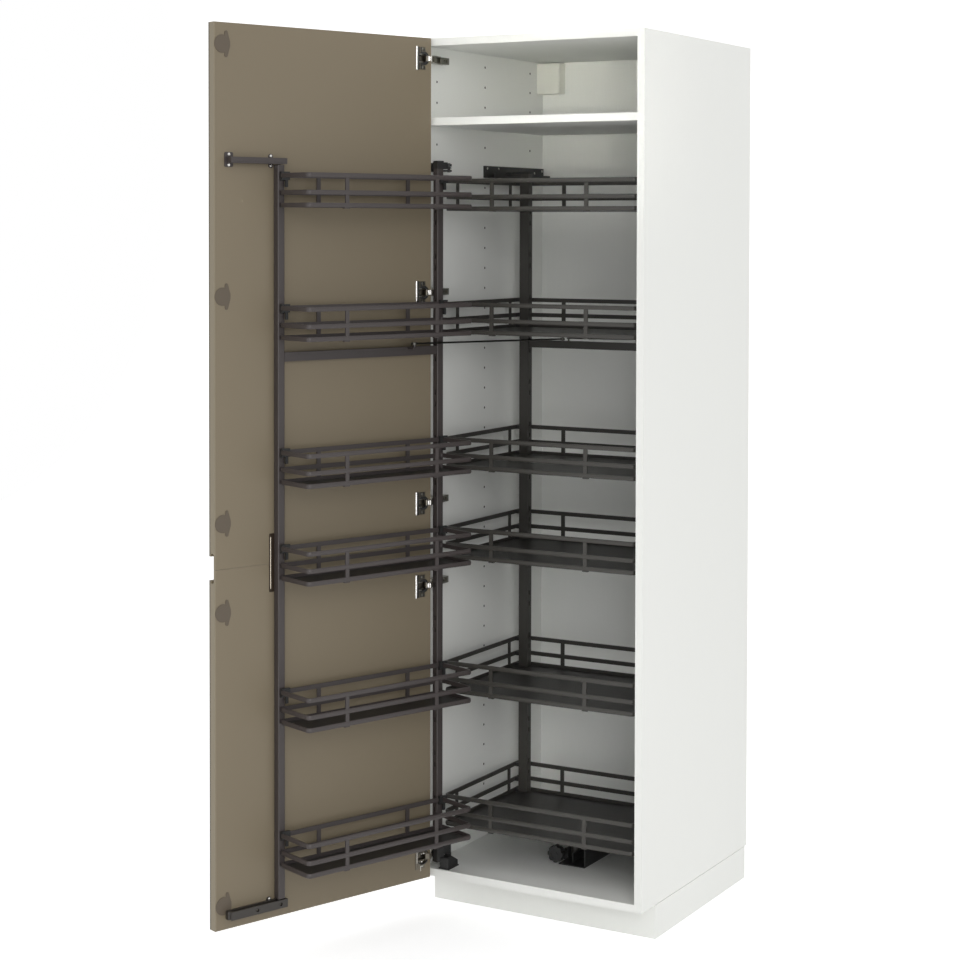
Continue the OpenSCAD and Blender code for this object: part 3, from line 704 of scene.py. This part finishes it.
# Dark strips close the channels of the posts: painted shade in their slots.
FRONT_POSTS = {"free": (489.0, 130.5), "pivot": (40.0, 153.5)}
POST_TOP, STRIP_M = HEAD_Z - 5.0, 3.3
for end, (s, foot) in FRONT_POSTS.items():
    middle = frame_seat(s, (foot + POST_TOP) / 2, STRIP_M)
    channel_shade_strip(f"{end}_post_strip", middle, 7.2, foot, POST_TOP, "front_frame")
RACK_POST_X, RACK_POST_Y, RACK_FOOT = 238.2, 397.0, 178.0
RACK_POSTS = {"left": (-1.0, 1765.0), "right": (1.0, 1743.0)}
for name, (side, high) in RACK_POSTS.items():
    middle = CARCASS_FRONT + np.array([side * RACK_POST_X, RACK_POST_Y, (RACK_FOOT + high) / 2])
    place = seat(middle, -side * INWARD, -side * RIGHT)
    channel_shade_strip("rack_post_strip_" + name, place, 8.2, RACK_FOOT, high, "rear_rack")

# %% [markdown]
# The rails of the baskets are flat bars in the plain solids, but a real rail has a
# crowned outer face, so its upper half looks lighter than its lower half. The crown
# is a low arch that is carried round the outline of the basket.


# %% Crowned faces of the rails
RAIL_HEIGHT, RAIL_CORNER, CORNER_STEPS = 10.0, 9.0, 7
ARCH_SPAN, BACK_REACH, BACK_INSET = 0.48, 0.9, 0.3
BULGE = 1.3
FRONT_BOX = (34.5, 494.5, 20.0, 134.0)
RACK_BOX = (-253.5, 253.5, 51.0, 415.0)
RAIL_DROPS = (0.0, 38.0, 66.0)
FRONT_TOPS = [1751.7, 1457.0, 1135.0, 920.4, 597.5, 275.0]
RACK_TOPS = [1748.0, 1453.5, 1130.0, 914.0, 589.0, 266.0]


def rounded_outline(x0, x1, y0, y1, radius):
    """Outline of a rectangle with round corners, counter-clockwise, and its outward directions.

    Corner k is an arc about its centre: centre + radius * (cos t, sin t), for a quarter turn."""
    centres = np.array(
        [[x1 - radius, y0 + radius], [x1 - radius, y1 - radius],
         [x0 + radius, y1 - radius], [x0 + radius, y0 + radius]]
    )
    quarter = np.linspace(-0.5 * math.pi, 0.0, CORNER_STEPS)
    t = quarter[None, :] + np.arange(4)[:, None] * 0.5 * math.pi
    outward = np.stack([np.cos(t), np.sin(t)], -1)
    return (centres[:, None, :] + radius * outward).reshape(-1, 2), outward.reshape(-1, 2)


def crowned_rail(place, box, top, bulge_of_side):
    """Arch round the outline: out = bulge * (1 - v^2) for v from 1 at the top edge to -1.

    Two more rows lie inside the flat bar and close the arch from behind."""
    outline, outward = rounded_outline(*box, RAIL_CORNER)
    v = np.array([1.0, 0.8, 0.5, 0.2, -0.2, -0.5, -0.8, -1.0])
    out = np.concatenate([1.0 - v**2, [-BACK_INSET, -BACK_INSET]])
    lift = np.concatenate([v, [-BACK_REACH, BACK_REACH]]) * ARCH_SPAN * RAIL_HEIGHT
    bulge = bulge_of_side(outline[:, 1])[:, None]
    push = np.where(out > 0, out * bulge, out)
    x = outline[:, :1] + outward[:, :1] * push
    y = outline[:, 1:] + outward[:, 1:] * push
    z = np.broadcast_to(top - RAIL_HEIGHT / 2 + lift, x.shape)
    points = np.stack(place(x, y, z), -1)
    rows, columns = points.shape[:2]
    index = np.arange(rows * columns).reshape(rows, columns)
    ahead, onward = np.roll(index, -1, axis=1), np.roll(index, -1, axis=0)
    both = np.roll(onward, -1, axis=1)
    quads = np.stack([index, ahead, both, onward], -1).reshape(-1, 4)
    return points.reshape(-1, 3), quads, np.zeros((0, 3), dtype=int)


def frame_point(s, m, z):
    """Point of the front frame: pivot + s along, m out and z up, in metres."""
    return [(FRAME_PIVOT[i] + s * ALONG[i] + m * OUT[i] + z * UP[i]) * MM for i in range(3)]


def rack_point(x, y, z):
    """Point of the carcass or the rack, y behind the carcass front, in metres."""
    return [x * MM, (y + CARCASS_FRONT[1]) * MM, z * MM]


def front_bulge(m):
    """Bulge in mm: 0.3 at the side of the posts, and in full from 10.4 mm in front of it."""
    return np.clip((m - FRONT_BOX[2]) / 8.0, 0.3, BULGE)


def rack_bulge(y):
    """Bulge in mm: the same on every side."""
    return np.full(y.shape, BULGE)


for number, (front_top, rack_top) in enumerate(zip(FRONT_TOPS, RACK_TOPS), 1):
    formed(
        f"front_rail_crowns_{number}",
        [crowned_rail(frame_point, FRONT_BOX, front_top - d, front_bulge) for d in RAIL_DROPS],
        graphite, "front_frame",
    )
    formed(
        f"rack_rail_crowns_{number}",
        [crowned_rail(rack_point, RACK_BOX, rack_top - d, rack_bulge) for d in RAIL_DROPS],
        rack_graphite_shaded, "rear_rack",
    )

# %% [markdown]
# The link rod ends on a pivot of the rack, and a thin bar runs on in its line above the
# crossbar. It is a straight tube: a circle is carried from one point to another, and
# two short studs of the same form carry it.


# %% Bar in the line of the link rod
TUBE_SIDES = 14
ACROSS = [0.31, 0.95, 0.0]
END_LENGTH, END_INSET = 0.6, 0.5


def straight_tube(a, b, radius):
    """Tube: circles of the radius round the line from a to b, drawn in a little at both ends."""
    a, b = np.array(a, dtype=float), np.array(b, dtype=float)
    way = (b - a) / np.linalg.norm(b - a)
    side = np.cross(way, ACROSS)
    side /= np.linalg.norm(side)
    other = np.cross(way, side)
    t = np.linspace(0.0, 2.0 * math.pi, TUBE_SIDES, endpoint=False)[None, :, None]
    circle = np.cos(t) * side + np.sin(t) * other
    middles = np.stack([a, a + END_LENGTH * way, b - END_LENGTH * way, b])[:, None, :]
    radii = np.array([radius - END_INSET, radius, radius, radius - END_INSET])[:, None, None]
    points = middles + radii * circle
    return closed_skin(np.stack(rack_point(points[..., 0], points[..., 1], points[..., 2]), -1))


BAR_START, BAR_END = (-108.0, RACK_POST_Y, 1354.6), (92.0, RACK_POST_Y, 1356.8)
CROSSBAR_TOP, STUD_INSET = 1347.6, 5.0
STUDS = ((BAR_START[0] + STUD_INSET, BAR_START[2]), (BAR_END[0] - STUD_INSET, BAR_END[2]))
bar_studs = [
    straight_tube((x, RACK_POST_Y, CROSSBAR_TOP), (x, RACK_POST_Y, z), 2.4) for x, z in STUDS
]
formed(
    "rod_rest_bar", [straight_tube(BAR_START, BAR_END, 1.7), *bar_studs],
    drawn_steel, "rear_rack",
)

# %% [markdown]
# The floor is a large pale sheet that runs up behind the object, as a paper roll
# does in a studio. Camera rays see it as plain white, while the object still gets
# the light it would bounce back.


# %% Floor and backdrop
PAPER_WHITE = (0.86, 0.86, 0.86, 1.0)
PAPER_GLOW = 0.55


def paper_roll(half_width, front, back, radius, height):
    """Sheet of paper: flat along Y, then a quarter circle of the radius, then straight up."""
    bend = np.linspace(0.0, math.pi / 2, 17)
    y = np.concatenate([[front], back + radius * np.sin(bend), [back + radius]])
    z = np.concatenate([[0.0], radius * (1.0 - np.cos(bend)), [height]])
    x = np.array([-half_width, half_width])
    return np.stack(np.broadcast_arrays(x[None, :], y[:, None], z[:, None]), -1)


def grid_mesh(name, points):
    """Mesh of a grid of points: one quad between each four neighbours."""
    rows, columns = points.shape[:2]
    index = np.arange(rows * columns).reshape(rows, columns)
    quads = np.stack(
        [index[:-1, :-1], index[1:, :-1], index[1:, 1:], index[:-1, 1:]], -1
    ).reshape(-1, 4)
    mesh = bpy.data.meshes.new(name)
    mesh.from_pydata(points.reshape(-1, 3).tolist(), [], quads.tolist())
    mesh.update()
    made = bpy.data.objects.new(name, mesh)
    bpy.context.scene.collection.objects.link(made)
    return made


def direct_ray(tree):
    """Socket that is 1 for camera, glossy and transmission rays: the largest of three flags."""
    path = tree.nodes.new("ShaderNodeLightPath")
    level = path.outputs["Is Camera Ray"]
    for flag in ("Is Glossy Ray", "Is Transmission Ray"):
        larger = tree.nodes.new("ShaderNodeMath")
        larger.operation = "MAXIMUM"
        tree.links.new(level, larger.inputs[0])
        tree.links.new(path.outputs[flag], larger.inputs[1])
        level = larger.outputs[0]
    return level


def paper_material():
    """White to the camera and in reflections, a pale diffuse sheet for everything else."""
    paper = bpy.data.materials.new("white paper")
    paper.use_nodes = True
    tree = paper.node_tree
    tree.nodes.clear()
    diffuse = tree.nodes.new("ShaderNodeBsdfDiffuse")
    diffuse.inputs["Color"].default_value = PAPER_WHITE
    glow = tree.nodes.new("ShaderNodeEmission")
    glow.inputs["Strength"].default_value = PAPER_GLOW
    both = tree.nodes.new("ShaderNodeAddShader")
    plain_or_both = tree.nodes.new("ShaderNodeMixShader")
    out = tree.nodes.new("ShaderNodeOutputMaterial")
    tree.links.new(diffuse.outputs[0], both.inputs[0])
    tree.links.new(glow.outputs[0], both.inputs[1])
    tree.links.new(direct_ray(tree), plain_or_both.inputs[0])
    tree.links.new(diffuse.outputs[0], plain_or_both.inputs[1])
    tree.links.new(both.outputs[0], plain_or_both.inputs[2])
    tree.links.new(plain_or_both.outputs[0], out.inputs[0])
    return paper


paper_sheet = grid_mesh("paper roll", paper_roll(6.0, -7.0, 4.0, 2.0, 6.0))
paper_sheet.data.materials.append(paper_material())
print("paper sheet faces:", len(paper_sheet.data.polygons))

# %% [markdown]
# White walls all round are the world. The camera sees them in full white, and so do
# reflections, but they light the object a little less, so its inside keeps its shade.

# %% World light
world = bpy.data.worlds.new("white room")
bpy.context.scene.world = world
world.use_nodes = True
background = world.node_tree.nodes["Background"]
ROOM_LEVEL = 0.76
room_level = world.node_tree.nodes.new("ShaderNodeMapRange")
room_level.inputs["To Min"].default_value = ROOM_LEVEL
room_level.inputs["To Max"].default_value = 1.0
world.node_tree.links.new(direct_ray(world.node_tree), room_level.inputs["Value"])
world.node_tree.links.new(room_level.outputs[0], background.inputs["Strength"])
background.inputs["Color"].default_value = (1.0, 1.0, 1.0, 1.0)
print("world light on the object:", ROOM_LEVEL)

# %% [markdown]
# A product shot has one big soft lamp on the side that should look brightest, here the
# right, and a weaker one at the camera. Four small ones with narrow cones lift the dark
# places: the lower baskets, the left wall and the back of the top compartment, and the
# cabinet floor. All of them are areas, so no shadow has a hard edge.


# %% Lamps
def soft_lamp(name, position, target, size, power, spread=math.pi, colour=(1.0, 1.0, 1.0)):
    """Square area lamp that looks from its position at the target, within a cone of the spread."""
    lamp = bpy.data.lights.new(name, "AREA")
    lamp.shape = "SQUARE"
    lamp.color = colour
    lamp.spread = spread
    lamp.size = size
    lamp.energy = power
    holder = bpy.data.objects.new(name, lamp)
    bpy.context.scene.collection.objects.link(holder)
    aim = np.array(target) - np.array(position)
    yaw = math.atan2(aim[0], -aim[1])
    tilt = math.atan2(-aim[2], math.hypot(aim[0], aim[1]))
    holder.location = position
    holder.rotation_euler = (math.pi / 2 - tilt, 0.0, yaw + math.pi)


WARM = (1.0, 0.99, 0.88)
soft_lamp("side lamp", (3.5, -4.5, 2.5), (0.0, 0.2, 1.2), 2.4, 66.0)
soft_lamp("front lamp", (0.9, -5.5, 2.3), (0.0, 0.2, 1.2), 2.4, 8.0)
soft_lamp("low lamp", (2.6, -4.4, 0.5), (-0.1, 0.3, 0.3), 1.2, 1.7, math.radians(40))
soft_lamp("shelf lamp", (2.3, -3.6, 1.68), (-0.18, 0.3, 2.0), 0.5, 0.13, math.radians(5), WARM)
soft_lamp("back lamp", (0.9, -4.5, 1.66), (0.04, 0.3, 2.0), 0.5, 0.13, math.radians(7), WARM)
soft_lamp("floor lamp", (2.2, -3.9, 1.0), (-0.02, 0.0, 0.24), 0.2, 0.04, math.radians(4.5))
print("lamps:", sorted(lamp.name for lamp in bpy.data.lights))

# %% [markdown]
# The camera was solved from the known sizes of the carcass, in a picture of 960 by
# 960 pixels. Its focal length and centre are kept in pixels here, and turned into a
# lens and a shift in the last lines.

# %% Camera
CAMERA_PLACE = (2.31515, -4.21062, 1.63275)
CAMERA_YAW = 0.51099
CAMERA_PITCH = -0.02814
CAMERA_ROLL = -0.00254
FOCAL_PIXELS = 2045.75
CENTRE_PIXELS = (527.5, 284.92)
IMAGE_PIXELS = 960
SENSOR = 36.0


def turn_about(axis, angle):
    """Matrix of a turn about axis 0, 1 or 2: cos and -sin over sin and cos in the other two."""
    a, b = (axis + 1) % 3, (axis + 2) % 3
    matrix = np.eye(3)
    matrix[a, a] = matrix[b, b] = math.cos(angle)
    matrix[a, b], matrix[b, a] = -math.sin(angle), math.sin(angle)
    return matrix


camera = bpy.data.cameras.new("camera")
camera.sensor_width = SENSOR
camera.lens = SENSOR * FOCAL_PIXELS / IMAGE_PIXELS
camera.shift_x = 0.5 - CENTRE_PIXELS[0] / IMAGE_PIXELS
camera.shift_y = CENTRE_PIXELS[1] / IMAGE_PIXELS - 0.5
camera.clip_end = 60.0
tripod = bpy.data.objects.new("camera", camera)
bpy.context.scene.collection.objects.link(tripod)
bpy.context.scene.camera = tripod
tripod.location = CAMERA_PLACE
tripod.rotation_mode = "XYZ"
turn = turn_about(2, CAMERA_YAW) @ turn_about(0, CAMERA_PITCH) @ turn_about(1, CAMERA_ROLL)
right, forward, up = turn.T
tripod.rotation_euler = Matrix(
    [[right[i], up[i], -forward[i]] for i in range(3)]
).to_euler("XYZ")
print("lens:", round(camera.lens, 2), "mm")

# %% [markdown]
# The picture should show the colours as they were read off, so the scene has no filmic
# curve.

# %% Colour management
bpy.context.scene.view_settings.view_transform = "Standard"
print("view transform:", bpy.context.scene.view_settings.view_transform)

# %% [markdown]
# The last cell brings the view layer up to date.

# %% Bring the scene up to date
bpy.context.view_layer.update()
